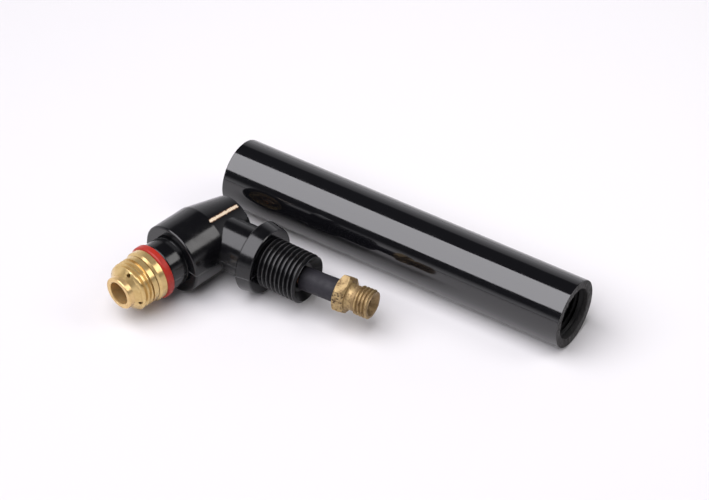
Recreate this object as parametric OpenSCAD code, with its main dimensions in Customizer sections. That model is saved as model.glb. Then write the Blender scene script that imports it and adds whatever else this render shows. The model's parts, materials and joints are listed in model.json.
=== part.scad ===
// Small gas-cooled welding torch body with its handle tube unscrewed and laid beside it.
//
// Both lie on the table z = 0. The handle lies along +X. The head lies beside it, with its stem and its
// nose level. The origin is the middle of the footprint, on the table.
// Turned pieces are drawn as half sections [radius, station] and revolved. Nose stations are counted from
// the point where the nose axis crosses the stem axis, and tube stations from the end of the stem.
// Threads are drawn as rings of the right size and pitch.

/* [Head] */
// Angle between the nose and the stem
stem_angle = 99.5; // [94:0.5:104]
// Diameter of the round body of the head, and of the flange that the handle butts against
head_d = 29; // [28:0.5:33]
// Distance from the crossing of the axes to the front face of the head
head_front = 21.2; // [19:0.2:23]
// Length of the full-width part of the head
head_straight = 16.2; // [15:0.2:18]
// Length of the tapered tail
tail_len = 17.6; // [16.6:0.2:20]
// Diameter of the end of the tail
tail_d = 21.5; // [20.5:0.5:24]
// Radius of the rounded edges of the head
head_edge_r = 0.9; // [0.4:0.1:1.4]
// Diameter of the groove between the head and its front neck
front_groove_d = 19; // [18:0.2:19.2]
// Length of that groove
front_groove_len = 0.9; // [0.5:0.1:3]
// Diameter of the front neck
front_neck_d = 20.4; // [19.6:0.2:22]
// Length of the front neck
front_neck_len = 7.2; // [4:0.2:8]
// Radius of the rounded edge at the front of that neck
front_neck_edge_r = 1.4; // [0.4:0.1:1.6]

/* [Stem] */
// Diameter of the neck between the head and the flange
stem_neck_d = 21; // [19.5:0.5:22.5]
// Distance from the crossing of the axes to the flange
flange_at = 22.4; // [21:0.2:26]
// Thickness of the flange
flange_t = 6.4; // [4:0.1:8]
// Diameter of the flange at its front, towards which it tapers
flange_front_d = 27; // [25:0.2:29]
// Outer diameter of the thread that carries the handle
stem_thread_d = 20; // [19.5:0.1:21]
// Pitch of that thread
stem_pitch = 2; // [1.5:0.25:2.25]
// Length of that thread
stem_thread_len = 18.4; // [14:0.1:24]
// Diameter of the mouth of the dished recess in the end of the stem
recess_d = 18; // [16:0.2:18.2]
// Diameter of the floor of that recess
recess_floor_d = 12; // [11.6:0.2:13]
// Depth of that recess
recess_depth = 2.6; // [2:0.2:5]

/* [Nose] */
// Diameter of the gasket ring
gasket_d = 22.4; // [21.6:0.2:25]
// Thickness of the gasket ring
gasket_t = 3.2; // [2.4:0.1:5]
// Radius of the gasket ring's outer edges
gasket_edge_r = 0.8; // [0.4:0.1:1.1]
// Diameter of the brass collar in front of the gasket
collar_d = 21; // [19:0.1:21.4]
// Length of that collar
collar_len = 3.3; // [2:0.1:5]
// Diameter of the undercut between the collar and the cup thread
undercut_d = 17.8; // [17.2:0.2:18.6]
// Length of that undercut
undercut_len = 0.5; // [0.4:0.1:2]
// Length of the plain land behind the cup thread
land_len = 1.5; // [0.6:0.1:3]
// Outer diameter of the cup thread
cup_thread_d = 19.6; // [19.2:0.1:20.4]
// Pitch of the cup thread
cup_pitch = 2; // [1.5:0.25:2.25]
// Turns of the cup thread
cup_turns = 3; // [2:1:5]
// Diameter at the outer edge of the cone face
cone_d = 19.2; // [18:0.2:19.2]
// Length of the cone face
cone_len = 2.5; // [2.2:0.1:3.6]
// Diameter of the rim that stands out of the cone face
rim_d = 13.5; // [12.8:0.1:13.8]
// Length of the rim
rim_len = 2.4; // [1.5:0.1:5]
// Radius of the rim's outer edge
rim_edge_r = 0.5; // [0.3:0.1:1.2]
// Diameter of the bore at the front of the core
core_bore_d = 9.5; // [9.2:0.1:9.9]
// Outer diameter of the core inside the gas chamber
core_d = 11.8; // [11.4:0.1:12.2]
// Depth of the plain front bore
core_bore_len = 26; // [18:1:30]
// Outer diameter of the collet thread
collet_thread_d = 9; // [8.6:0.1:9.1]
// Pitch of the collet thread
collet_pitch = 1; // [0.75:0.25:1.25]
// Turns of the collet thread
collet_turns = 10; // [6:1:11]
// Diameter of the shank that is moulded into the head
shank_d = 16; // [15.6:0.1:16.4]
// Distance from the crossing of the axes to the rear end of the shank
shank_back = 3; // [2.4:0.2:3.4]
// Thickness of the wall that closes the rear end of the gas chamber
chamber_back_wall = 2; // [1.2:0.2:2.4]
// Thickness of the wall that closes the front end of the gas chamber
chamber_front_wall = 2; // [1.6:0.1:2.4]
// Diameter of the gas chamber
chamber_d = 13.8; // [13.7:0.1:14.2]
// Number of gas holes in the cone face
gas_holes = 4; // [2:1:8]
// Diameter of the circle on which the gas holes lie
gas_hole_circle_d = 17; // [16:0.2:17.4]
// Diameter of a gas hole
gas_hole_d = 1.6; // [1:0.1:1.8]
// Turn of the first gas hole from the top towards the stem
gas_hole_turn = 15; // [0:5:90]

/* [Back cap socket] */
// Diameter of the bush in the tail
socket_d = 15; // [14.4:0.2:16]
// Length of the bush
socket_len = 8; // [6:0.2:8]
// Outer diameter of the back cap's thread
cap_thread_d = 12; // [11:0.2:12.4]
// Pitch of the back cap's thread
cap_pitch = 1.25; // [1:0.25:1.5]
// Turns of the back cap's thread
cap_turns = 5; // [3:1:5]

/* [Conductor tube] */
// Lean of the tube away from the line of the stem
tube_lean = 4.6; // [0:0.1:6]
// Outer diameter of the tube
tube_d = 7; // [6:0.1:7.4]
// Bore of the tube
tube_bore_d = 4.5; // [3.5:0.1:5]
// Outer diameter of the sleeve over the tube
sleeve_d = 9.4; // [8.8:0.1:10.4]
// Distance from the end of the stem to the hexagon
tube_out = 14; // [10:0.1:20]
// Width of the silver solder fillets
solder_w = 0.9; // [0.5:0.1:1.1]

/* [Hose fitting] */
// Size of the hexagon across its flats
hex_af = 14; // [13:0.5:17]
// Length of the hexagon
hex_len = 4.7; // [4:0.1:9]
// Turn of the hexagon about the tube
hex_turn = 13; // [0:1:30]
// Diameter of the waist behind the hose thread
waist_d = 10.2; // [9.8:0.1:11.2]
// Length of the waist
waist_len = 3.9; // [2:0.1:5]
// Outer diameter of the hose thread
hose_thread_d = 11.8; // [11.6:0.1:12.6]
// Pitch of the hose thread
hose_pitch = 1.5; // [1:0.25:1.5]
// Length of the hose thread
hose_thread_len = 6.1; // [5:0.1:10]
// Depth of the socket that the tube is soldered into
tube_socket = 5; // [3:0.2:6]
// Diameter of the mouth of the sealing cone
seal_d = 9; // [8:0.2:9.4]
// Included angle of the sealing cone
seal_angle = 90; // [60:5:120]

/* [Handle] */
// Outer diameter of the handle tube
handle_d = 28; // [26:0.5:32]
// Length of the handle tube
handle_len = 154.5; // [110:0.5:180]
// Bore of the handle tube
handle_bore_d = 17.6; // [14:0.2:17.6]
// Length of the thread inside the handle tube
handle_thread_len = 20; // [14:0.5:24]
// Depth of the plain recess in the handle's mouth
mouth_len = 4; // [2:0.5:6]
// Size of the broken edges of the handle tube
handle_edge = 0.4; // [0.2:0.1:0.8]

/* [Lie of the pieces] */
// Distance from the handle's far end to the crossing of the head's axes, along the handle
head_ahead = 12.1; // [5:0.1:30]
// Distance from the handle's axis to the crossing of the head's axes
head_beside = 38.4; // [36:0.1:60]
// Turn of the stem out of the handle's direction
stem_turn = 1.5; // [-2:0.5:5]

/* [Fits] */
// Gap around pieces that are moulded in, brazed in or stretched on
seat_gap = 0.02; // [0.01:0.01:0.05]
// Radial clearance of the handle's thread on the stem's thread
thread_gap = 0.15; // [0.05:0.05:0.2]
// Radial clearance of the handle's mouth around the stem's thread
mouth_gap = 0.5; // [0.3:0.1:0.8]

/* [Hidden] */

$fn = 96;
// Room by which a cut runs past the face that it opens
over = 1;
// Steps in a rounded corner
corner_steps = 6;
// Chamfer on small brass and moulded edges
small_chamfer = 0.3;
// Depth of a metric thread as a share of its pitch
thread_depth_share = 0.541;

// Stations along the nose axis
taper_at = head_front - head_straight;
tail_at = taper_at - tail_len;
neck_at = head_front + front_groove_len;
gasket_at = neck_at + front_neck_len;
collar_at = gasket_at + gasket_t;
undercut_at = collar_at + collar_len;
land_at = undercut_at + undercut_len;
cup_thread_at = land_at + land_len;
cone_at = cup_thread_at + cup_turns * cup_pitch;
cone_end = cone_at + cone_len;
tip_at = cone_end + rim_len;
chamber_front = cone_end - chamber_front_wall;
chamber_back = -shank_back + chamber_back_wall;
socket_at = tail_at + socket_len;
core_back = socket_at + seat_gap;

// Stations along the stem
thread_at = flange_at + flange_t;
stem_end = thread_at + stem_thread_len;

// Stations along the conductor tube, from the end of the stem
tube_reach = stem_end * sin(stem_angle) / sin(stem_angle + tube_lean);
tube_back = -(tube_reach - shank_d / 4);
solder_len = shank_d / 4 + 2 * solder_w;
sleeve_back = -(recess_depth - sleeve_d / 2 * sin(tube_lean) - seat_gap) / cos(tube_lean);
waist_at = tube_out + hex_len;
hose_thread_at = waist_at + waist_len;
fitting_end = hose_thread_at + hose_thread_len;

// Where the axes lie
rest_height = head_d / 2;
stem_yaw = -stem_turn;
nose_yaw = stem_yaw - stem_angle;
tube_yaw = stem_yaw + tube_lean;
crossing = [head_ahead, -head_beside];
stem_tip = crossing + stem_end * [cos(stem_yaw), sin(stem_yaw)];

// The footprint is spanned by round edges: [start point, yaw, station, radius, rounding]
round_edges = [
    [[0, 0], 0, 0, handle_d / 2, 0],
    [[0, 0], 0, handle_len, handle_d / 2, 0],
    [crossing, nose_yaw, tail_at + head_edge_r, tail_d / 2 - head_edge_r, head_edge_r],
    [crossing, nose_yaw, taper_at, head_d / 2, 0],
    [crossing, nose_yaw, head_front - head_edge_r, head_d / 2 - head_edge_r, head_edge_r],
    [crossing, nose_yaw, collar_at - gasket_edge_r, gasket_d / 2 - gasket_edge_r, gasket_edge_r],
    [crossing, nose_yaw, cone_at, cup_thread_d / 2, 0],
    [crossing, nose_yaw, tip_at - rim_edge_r, rim_d / 2 - rim_edge_r, rim_edge_r],
    [crossing, stem_yaw, flange_at, head_d / 2, 0],
    [crossing, stem_yaw, thread_at, flange_front_d / 2, 0],
    [stem_tip, tube_yaw, waist_at, hex_af / 2, 0],
    [stem_tip, tube_yaw, fitting_end, hose_thread_d / 2, 0]
];

function edge_mid(e) = e[0] + e[2] * [cos(e[1]), sin(e[1])];
function edge_half(e) = e[3] * [abs(sin(e[1])), abs(cos(e[1]))] + e[4] * [1, 1];
function low(axis) = min([for (e = round_edges) edge_mid(e)[axis] - edge_half(e)[axis]]);
function high(axis) = max([for (e = round_edges) edge_mid(e)[axis] + edge_half(e)[axis]]);
origin = [(low(0) + high(0)) / 2, (low(1) + high(1)) / 2];

// Points of a quarter-round corner in a half section
function corner(centre, r, from, to) =
    [for (i = [0 : corner_steps])
        let (t = from + (to - from) * i / corner_steps)
        centre + r * [cos(t), sin(t)]];

// Points of a run of thread rings: crests at radius_c, roots at radius_r
function rings(start, turns, pitch, radius_c, radius_r) =
    [for (i = [0 : turns - 1])
        let (z = start + i * pitch)
        each [[radius_c, z + pitch / 16], [radius_r, z + pitch * 3 / 8],
              [radius_r, z + pitch * 5 / 8], [radius_c, z + pitch * 15 / 16]]];

function thread_depth(pitch) = thread_depth_share * pitch;

// An outer thread keeps a plain crest of this length before its end chamfer
function end_land(pitch) = pitch / 8;

// Whole rings that fit on an outer thread of that length
function outer_turns(length, pitch) = floor((length - small_chamfer - end_land(pitch)) / pitch);

// Station of the first ring of an outer thread that ends there
function first_outer_ring(end, length, pitch) =
    end - small_chamfer - end_land(pitch) - outer_turns(length, pitch) * pitch;
function reversed(points) = [for (i = [len(points) - 1 : -1 : 0]) points[i]];

module turned(points) rotate_extrude() polygon(points);

// The head's pieces: +Z of what is drawn points along the nose, the stem or the tube
module along(start, yaw)
    translate([start[0] - origin[0], start[1] - origin[1], rest_height])
        rotate([0, 0, yaw])
            rotate([0, 90, 0])
                children();

module along_nose() along(crossing, nose_yaw) children();
module along_stem() along(crossing, stem_yaw) children();
module along_tube() along(stem_tip, tube_yaw) children();

// Solid of revolution about the nose axis: tail, body, groove and front neck
module head_body() {
    e = head_edge_r;
    neck_e = front_neck_edge_r;
    turned(concat(
        [[0, tail_at]],
        corner([tail_d / 2 - e, tail_at + e], e, -90, 0),
        [[head_d / 2, taper_at]],
        corner([head_d / 2 - e, head_front - e], e, 0, 90),
        [[front_groove_d / 2, head_front], [front_groove_d / 2, neck_at],
         [front_neck_d / 2 - small_chamfer, neck_at], [front_neck_d / 2, neck_at + small_chamfer]],
        corner([front_neck_d / 2 - neck_e, gasket_at - neck_e], neck_e, 0, 90),
        [[0, gasket_at]]));
}

// Solid of revolution about the stem axis: neck, flange and handle thread
module stem_body() {
    crest = stem_thread_d / 2;
    root = crest - thread_depth(stem_pitch);
    turns = outer_turns(stem_thread_len, stem_pitch);
    first_ring = first_outer_ring(stem_end, stem_thread_len, stem_pitch);
    turned(concat(
        [[0, 0], [stem_neck_d / 2, 0], [stem_neck_d / 2, flange_at],
         [head_d / 2 - small_chamfer, flange_at], [head_d / 2, flange_at + small_chamfer],
         [flange_front_d / 2, thread_at - small_chamfer],
         [flange_front_d / 2 - small_chamfer, thread_at], [crest, thread_at]],
        rings(first_ring, turns, stem_pitch, crest, root),
        [[crest, stem_end - small_chamfer], [crest - small_chamfer, stem_end], [0, stem_end]]));
}

// Everything that the moulding leaves room for
module moulded_in() {
    along_nose() {
        translate([0, 0, -shank_back - seat_gap])
            cylinder(h = gasket_at + shank_back + seat_gap + over, d = shank_d + 2 * seat_gap);
        translate([0, 0, socket_at - over])
            cylinder(h = over - shank_back - socket_at, d = core_d + 2 * seat_gap);
        translate([0, 0, tail_at - over])
            cylinder(h = socket_len + over + seat_gap, d = socket_d + 2 * seat_gap);
    }
    along_tube() {
        translate([0, 0, tube_back])
            cylinder(h = -tube_back - recess_depth / 2, d = tube_d + 2 * seat_gap);
        translate([0, 0, tube_back])
            cylinder(h = solder_len + seat_gap, d = tube_d + 2 * solder_w + 2 * seat_gap);
    }
    along_stem()
        turned([
            [0, stem_end - recess_depth], [recess_floor_d / 2, stem_end - recess_depth],
            [recess_d / 2, stem_end], [recess_d / 2, stem_end + over], [0, stem_end + over]]);
}

module head_moulding() {
    color([0.05, 0.05, 0.055])
        difference() {
            union() {
                along_nose() head_body();
                along_stem() stem_body();
            }
            moulded_in();
        }
}

// One gas hole, square to the cone face and down into the gas chamber
module gas_hole() {
    drop = cone_d / 2 - rim_d / 2 - seat_gap;
    slope = atan2(cone_len, drop);
    hole_at = gas_hole_circle_d / 2;
    depth = (hole_at - core_d / 2) / sin(slope);
    translate([hole_at, 0, cone_at + cone_len * (cone_d / 2 - hole_at) / drop])
        rotate([0, slope, 0])
            translate([0, 0, -depth])
                cylinder(h = depth + over, d = gas_hole_d);
}

module nozzle_seat() {
    crest = cup_thread_d / 2;
    root = crest - thread_depth(cup_pitch);
    core_fit = core_d / 2 + seat_gap;
    rim_fit = rim_d / 2 + seat_gap;
    color([0.86, 0.68, 0.32])
        difference() {
            along_nose()
                difference() {
                    turned(concat(
                        [[core_fit, -shank_back], [shank_d / 2, -shank_back], [shank_d / 2, collar_at],
                         [collar_d / 2, collar_at], [collar_d / 2, undercut_at],
                         [undercut_d / 2, undercut_at], [undercut_d / 2, land_at], [crest, land_at]],
                        rings(cup_thread_at, cup_turns, cup_pitch, crest, root),
                        [[cone_d / 2, cone_at], [rim_fit, cone_end], [rim_fit, chamber_front],
                         [chamber_d / 2, chamber_front], [chamber_d / 2, chamber_back],
                         [core_fit, chamber_back]]));
                    for (i = [0 : gas_holes - 1])
                        rotate([0, 0, 180 - gas_hole_turn + i * 360 / gas_holes])
                            gas_hole();
                }
            along_tube()
                translate([0, 0, -tube_reach + core_d / 2])
                    cylinder(h = shank_d, d = tube_bore_d);
        }
}

module torch_core() {
    bore = core_bore_d / 2;
    major = collet_thread_d / 2;
    minor = major - thread_depth(collet_pitch);
    e = rim_edge_r;
    thread_top = tip_at - core_bore_len;
    first_ring = thread_top - collet_turns * collet_pitch;
    color([0.9, 0.72, 0.38])
        along_nose()
            turned(concat(
                [[minor, core_back], [core_d / 2, core_back], [core_d / 2, chamber_front],
                 [rim_d / 2, chamber_front]],
                corner([rim_d / 2 - e, tip_at - e], e, 0, 90),
                [[bore + small_chamfer, tip_at], [bore, tip_at - small_chamfer], [bore, thread_top]],
                reversed(rings(first_ring, collet_turns, collet_pitch, minor, major)),
                [[minor, first_ring]]));
}

module cap_socket() {
    major = cap_thread_d / 2;
    minor = major - thread_depth(cap_pitch);
    first_ring = tail_at + small_chamfer;
    color([0.86, 0.68, 0.32])
        along_nose()
            turned(concat(
                [[minor + small_chamfer, tail_at], [socket_d / 2, tail_at], [socket_d / 2, socket_at],
                 [minor, socket_at]],
                reversed(rings(first_ring, cap_turns, cap_pitch, minor, major)),
                [[minor, first_ring]]));
}

module gasket_ring() {
    e = gasket_edge_r;
    inner = shank_d / 2 + seat_gap;
    outer = gasket_d / 2;
    back = gasket_at + seat_gap;
    front = collar_at - seat_gap;
    color([0.82, 0.1, 0.07])
        along_nose()
            turned(concat(
                [[inner, back]],
                corner([outer - e, back + e], e, -90, 0),
                corner([outer - e, front - e], e, 0, 90),
                [[inner, front]]));
}

module solder_ring_seat() {
    color([0.75, 0.74, 0.7])
        difference() {
            along_tube()
                translate([0, 0, tube_back])
                    difference() {
                        cylinder(h = solder_len, d = tube_d + 2 * solder_w);
                        translate([0, 0, -over])
                            cylinder(h = solder_len + 2 * over, d = tube_d + 2 * seat_gap);
                    }
            along_nose()
                translate([0, 0, -shank_back - over])
                    cylinder(h = gasket_at + shank_back + over, d = shank_d + 2 * seat_gap);
        }
}

module conductor_tube() {
    color([0.72, 0.42, 0.26])
        difference() {
            along_tube()
                translate([0, 0, tube_back])
                    cylinder(h = tube_out + tube_socket - tube_back - seat_gap, d = tube_d);
            along_tube()
                translate([0, 0, tube_back - over])
                    cylinder(h = tube_out + tube_socket - tube_back + 2 * over, d = tube_bore_d);
            along_nose()
                translate([0, 0, -shank_back - over])
                    cylinder(h = gasket_at + shank_back + over, d = shank_d + 2 * seat_gap);
        }
}

module insulating_sleeve() {
    color([0.12, 0.12, 0.12])
        along_tube()
            turned([
                [tube_d / 2 + seat_gap, sleeve_back], [sleeve_d / 2, sleeve_back],
                [sleeve_d / 2, tube_out - seat_gap], [tube_d / 2 + seat_gap, tube_out - seat_gap]]);
}

module solder_ring_fitting() {
    inner = tube_d / 2 + seat_gap;
    color([0.75, 0.74, 0.7])
        along_tube()
            turned([
                [inner, tube_out + seat_gap], [inner + solder_w - 3 * seat_gap, tube_out + seat_gap],
                [inner, tube_out + solder_w - 2 * seat_gap]]);
}

module hose_fitting() {
    crest = hose_thread_d / 2;
    root = crest - thread_depth(hose_pitch);
    turns = outer_turns(hose_thread_len, hose_pitch);
    first_ring = first_outer_ring(fitting_end, hose_thread_len, hose_pitch);
    seal_depth = (seal_d - tube_bore_d) / 2 / tan(seal_angle / 2);
    corner_r = hex_af / 2 / cos(30);
    hex_bevel = corner_r - hex_af / 2;
    color([0.74, 0.6, 0.33])
        along_tube()
            difference() {
                union() {
                    intersection() {
                        translate([0, 0, tube_out])
                            rotate([0, 0, -hex_turn])
                                cylinder(h = hex_len, r = corner_r, $fn = 6);
                        turned([
                            [0, tube_out], [hex_af / 2, tube_out], [corner_r + over, tube_out + hex_bevel],
                            [corner_r + over, waist_at - hex_bevel], [hex_af / 2, waist_at],
                            [0, waist_at]]);
                    }
                    turned(concat(
                        [[0, tube_out + hex_len / 2], [waist_d / 2, tube_out + hex_len / 2],
                         [waist_d / 2, hose_thread_at], [crest, hose_thread_at]],
                        rings(first_ring, turns, hose_pitch, crest, root),
                        [[crest, fitting_end - small_chamfer], [crest - small_chamfer, fitting_end],
                         [0, fitting_end]]));
                }
                turned([
                    [0, tube_out - over], [tube_d / 2 + solder_w + over, tube_out - over],
                    [tube_d / 2 + seat_gap, tube_out + solder_w],
                    [tube_d / 2 + seat_gap, tube_out + tube_socket], [tube_bore_d / 2, tube_out + tube_socket],
                    [tube_bore_d / 2, fitting_end - seal_depth], [seal_d / 2, fitting_end],
                    [seal_d / 2, fitting_end + over], [0, fitting_end + over]]);
            }
}

module handle_tube() {
    e = handle_edge;
    outer = handle_d / 2;
    bore = handle_bore_d / 2;
    major = stem_thread_d / 2 + thread_gap;
    minor = major - thread_depth(stem_pitch);
    mouth = stem_thread_d / 2 + mouth_gap;
    turns = floor(handle_thread_len / stem_pitch);
    thread_end = handle_len - mouth_len;
    first_ring = thread_end - turns * stem_pitch;
    color([0.06, 0.06, 0.065])
        translate([-origin[0], -origin[1], outer])
            rotate([0, 90, 0])
                turned(concat(
                    [[bore + e, 0], [outer - e, 0], [outer, e], [outer, handle_len - e],
                     [outer - e, handle_len], [mouth + e, handle_len], [mouth, handle_len - e],
                     [mouth, thread_end]],
                    reversed(rings(first_ring, turns, stem_pitch, minor, major)),
                    [[minor, first_ring], [bore, first_ring], [bore, e]]));
}

head_moulding();
nozzle_seat();
torch_core();
cap_socket();
gasket_ring();
solder_ring_seat();
conductor_tube();
insulating_sleeve();
solder_ring_fitting();
hose_fitting();
handle_tube();
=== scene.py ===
"""Looks of a small gas-cooled welding torch body with its handle tube unscrewed and laid beside it.

Every piece is drawn upright on Z in millimetres, as on the lathe, and is then laid along the axis that it has in the
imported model. Nose stations are counted from the point where the nose axis crosses the stem axis, tube stations from
the end of the stem, and handle stations from the handle's far end.
"""

import json
import logging
import math
from collections import Counter
from collections.abc import Callable, Sequence
from dataclasses import dataclass, field
from enum import Enum

import bpy
from mathutils import Euler, Matrix, Vector


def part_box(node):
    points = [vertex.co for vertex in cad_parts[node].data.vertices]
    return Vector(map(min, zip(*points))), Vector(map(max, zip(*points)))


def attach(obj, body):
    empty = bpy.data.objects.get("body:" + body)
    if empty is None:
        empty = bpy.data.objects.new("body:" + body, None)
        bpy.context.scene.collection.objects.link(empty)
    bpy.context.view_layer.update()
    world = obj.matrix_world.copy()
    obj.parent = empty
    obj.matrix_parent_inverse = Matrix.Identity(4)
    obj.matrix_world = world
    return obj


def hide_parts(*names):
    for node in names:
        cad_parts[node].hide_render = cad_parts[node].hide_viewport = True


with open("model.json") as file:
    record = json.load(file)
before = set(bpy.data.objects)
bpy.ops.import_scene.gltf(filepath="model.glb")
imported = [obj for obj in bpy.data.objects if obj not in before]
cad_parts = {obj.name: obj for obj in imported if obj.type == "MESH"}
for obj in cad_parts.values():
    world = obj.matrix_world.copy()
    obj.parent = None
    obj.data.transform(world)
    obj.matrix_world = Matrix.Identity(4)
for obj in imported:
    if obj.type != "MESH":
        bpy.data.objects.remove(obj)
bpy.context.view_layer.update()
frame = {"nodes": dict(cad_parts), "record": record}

Point = tuple[float, float]
Colour = tuple[float, float, float]
Socket = bpy.types.NodeSocket
Piece = bpy.types.Object

MM = 0.001
FULL_TURN = 2 * math.pi
UP = Vector((0, 0, 1))
# Depth of a metric thread, for each millimetre of its pitch
THREAD_DEPTH = 0.541
# Points nearer than this are one point, in the drawing's millimetres
MERGE = 0.0005
# How often a cut is tried, by how much its tool is moved between tries, and how much of its skin may stay open
TRIES = 6
HAIR = Matrix.Translation((0, 0, 0.002)) @ Matrix.Rotation(math.radians(0.04), 4, "Z")
OPEN_SHARE = 0.01
# How far a solid reaches past the face where it cuts or joins another one, in the drawing's millimetres
LAP = 1.0
# Angle in degrees above which an edge of a soft, moulded piece stays crisp
SOFT_CREASE = 50.0
log = logging.getLogger("torch")


class Cut(Enum):
    """How one solid works on another."""

    ADD = "UNION"
    TAKE = "DIFFERENCE"
    COMMON = "INTERSECT"


class Body(Enum):
    """The two bodies that the pieces ride on."""

    HEAD = "head"
    HANDLE = "handle"


# ---------------------------------------------------------------------------------------------- shop tools


def select_none() -> None:
    """Deselects every object."""
    for other in bpy.context.selected_objects:
        other.select_set(False)


def select_only(piece: Piece) -> None:
    """Makes a piece the only selected and the active one.

    Args:
        piece: The piece to select.
    """
    select_none()
    piece.select_set(True)
    bpy.context.view_layer.objects.active = piece


def named(name: str) -> Piece:
    """Names the object that was added last.

    Args:
        name: Its name.

    Returns:
        The object.
    """
    piece = bpy.context.object
    piece.name = piece.data.name = name
    return piece


def edit(piece: Piece) -> None:
    """Opens a piece in edit mode with everything on it selected.

    Args:
        piece: The piece to edit.
    """
    select_only(piece)
    bpy.ops.object.mode_set(mode="EDIT")
    bpy.ops.mesh.select_mode(type="VERT")
    bpy.ops.mesh.select_all(action="SELECT")


def leave_edit() -> None:
    """Goes back to object mode."""
    bpy.ops.object.mode_set(mode="OBJECT")


def close_up(piece: Piece) -> None:
    """Merges doubled points of a piece and turns its faces outwards.

    Args:
        piece: The piece to close.
    """
    edit(piece)
    bpy.ops.mesh.remove_doubles(threshold=MERGE)
    bpy.ops.mesh.normals_make_consistent(inside=False)
    leave_edit()


def apply_modifier(piece: Piece, modifier: bpy.types.Modifier) -> None:
    """Applies one modifier of a piece.

    Args:
        piece: The piece that holds it.
        modifier: The modifier to apply.
    """
    select_only(piece)
    bpy.ops.object.modifier_apply(modifier=modifier.name)


def volume(piece: Piece) -> float:
    """Measures the volume that the faces of a piece close in.

    Args:
        piece: The piece.

    Returns:
        The volume, in the piece's own units.
    """
    mesh = piece.data
    mesh.calc_loop_triangles()
    spots = [vertex.co for vertex in mesh.vertices]
    corners = (triangle.vertices for triangle in mesh.loop_triangles)
    return sum(spots[a].dot(spots[b].cross(spots[c])) for a, b, c in corners) / 6


def torn_share(piece: Piece) -> float:
    """Measures how much of the skin of a piece is torn.

    Args:
        piece: The piece.

    Returns:
        The share of its edges that don't join two faces.
    """
    uses = Counter(key for face in piece.data.polygons for key in face.edge_keys)
    return sum(1 for count in uses.values() if count != 2) / max(1, len(uses))


def discard(piece: Piece) -> None:
    """Removes a piece together with its mesh.

    Args:
        piece: The piece to remove.
    """
    mesh = piece.data
    bpy.data.objects.remove(piece)
    bpy.data.meshes.remove(mesh)


def combine(piece: Piece, tool: Piece, how: Cut) -> Piece:
    """Works one solid on another and uses the tool up.

    The solver now and then drops faces, so the outcome is measured, and worked again with the tool moved by a hair
    if its volume can't be right or its skin is torn.

    Args:
        piece: The solid that is kept.
        tool: The solid that is used up.
        how: What is done with it.

    Returns:
        The worked piece.

    Raises:
        RuntimeError: No try gave a sound solid.
    """
    size, tool_size = volume(piece), volume(tool)
    least, most = {
        Cut.ADD: (max(size, tool_size), size + tool_size),
        Cut.TAKE: (size - tool_size, size),
        Cut.COMMON: (0.0, min(size, tool_size)),
    }[how]
    for _ in range(TRIES):
        trial = copied(piece, "trial")
        modifier = trial.modifiers.new(how.name.lower(), "BOOLEAN")
        modifier.operation = how.value
        modifier.solver = "EXACT"
        modifier.object = tool
        apply_modifier(trial, modifier)
        if least < volume(trial) < most and torn_share(trial) < OPEN_SHARE:
            piece.data, trial.data = trial.data, piece.data
            discard(trial)
            discard(tool)
            return piece
        discard(trial)
        moved(tool, HAIR)
    raise RuntimeError(f"{piece.name}: {how.name.lower()} of {tool.name} gives no sound solid")


def copied(piece: Piece, name: str) -> Piece:
    """Copies a piece together with its mesh.

    Args:
        piece: The piece to copy.
        name: The copy's name.

    Returns:
        The copy.
    """
    twin = piece.copy()
    twin.data = piece.data.copy()
    twin.name = name
    bpy.context.scene.collection.objects.link(twin)
    return twin


def moved(piece: Piece, matrix: Matrix) -> Piece:
    """Moves a piece and writes its place into its mesh.

    Args:
        piece: The piece to move.
        matrix: Where it goes.

    Returns:
        The same piece, its object at the origin.
    """
    piece.matrix_world = matrix @ piece.matrix_world
    select_only(piece)
    bpy.ops.object.transform_apply(location=True, rotation=True, scale=True)
    return piece


def slice_off(piece: Piece, at: Vector, facing: Vector) -> None:
    """Cuts off what lies on the side of a plane that it faces, and closes the cut.

    Args:
        piece: The solid to cut.
        at: A point of the plane.
        facing: The plane's direction towards the waste.
    """
    edit(piece)
    bpy.ops.mesh.bisect(plane_co=at, plane_no=facing, use_fill=True, clear_outer=True)
    leave_edit()


def select_points(piece: Piece, test: Callable[[Vector], bool]) -> None:
    """Selects the points of a piece by their place, and opens it in edit mode.

    Args:
        piece: The piece.
        test: Says whether the point at a place is selected.
    """
    edit(piece)
    bpy.ops.mesh.select_all(action="DESELECT")
    leave_edit()
    for vertex in piece.data.vertices:
        vertex.select = test(vertex.co)
    bpy.ops.object.mode_set(mode="EDIT")


def rounded(centre: Point, radius: float, start: float, end: float, steps: int = 6) -> list[Point]:
    """Points of a rounded corner of a half section.

    Args:
        centre: The middle of the corner's arc.
        radius: Its radius.
        start: The angle in degrees at which it starts, from the radial direction.
        end: The angle at which it ends.
        steps: Steps of the arc.

    Returns:
        The points, in order.
    """
    angles = [math.radians(start + (end - start) * i / steps) for i in range(steps + 1)]
    return [(centre[0] + radius * math.cos(a), centre[1] + radius * math.sin(a)) for a in angles]


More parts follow.
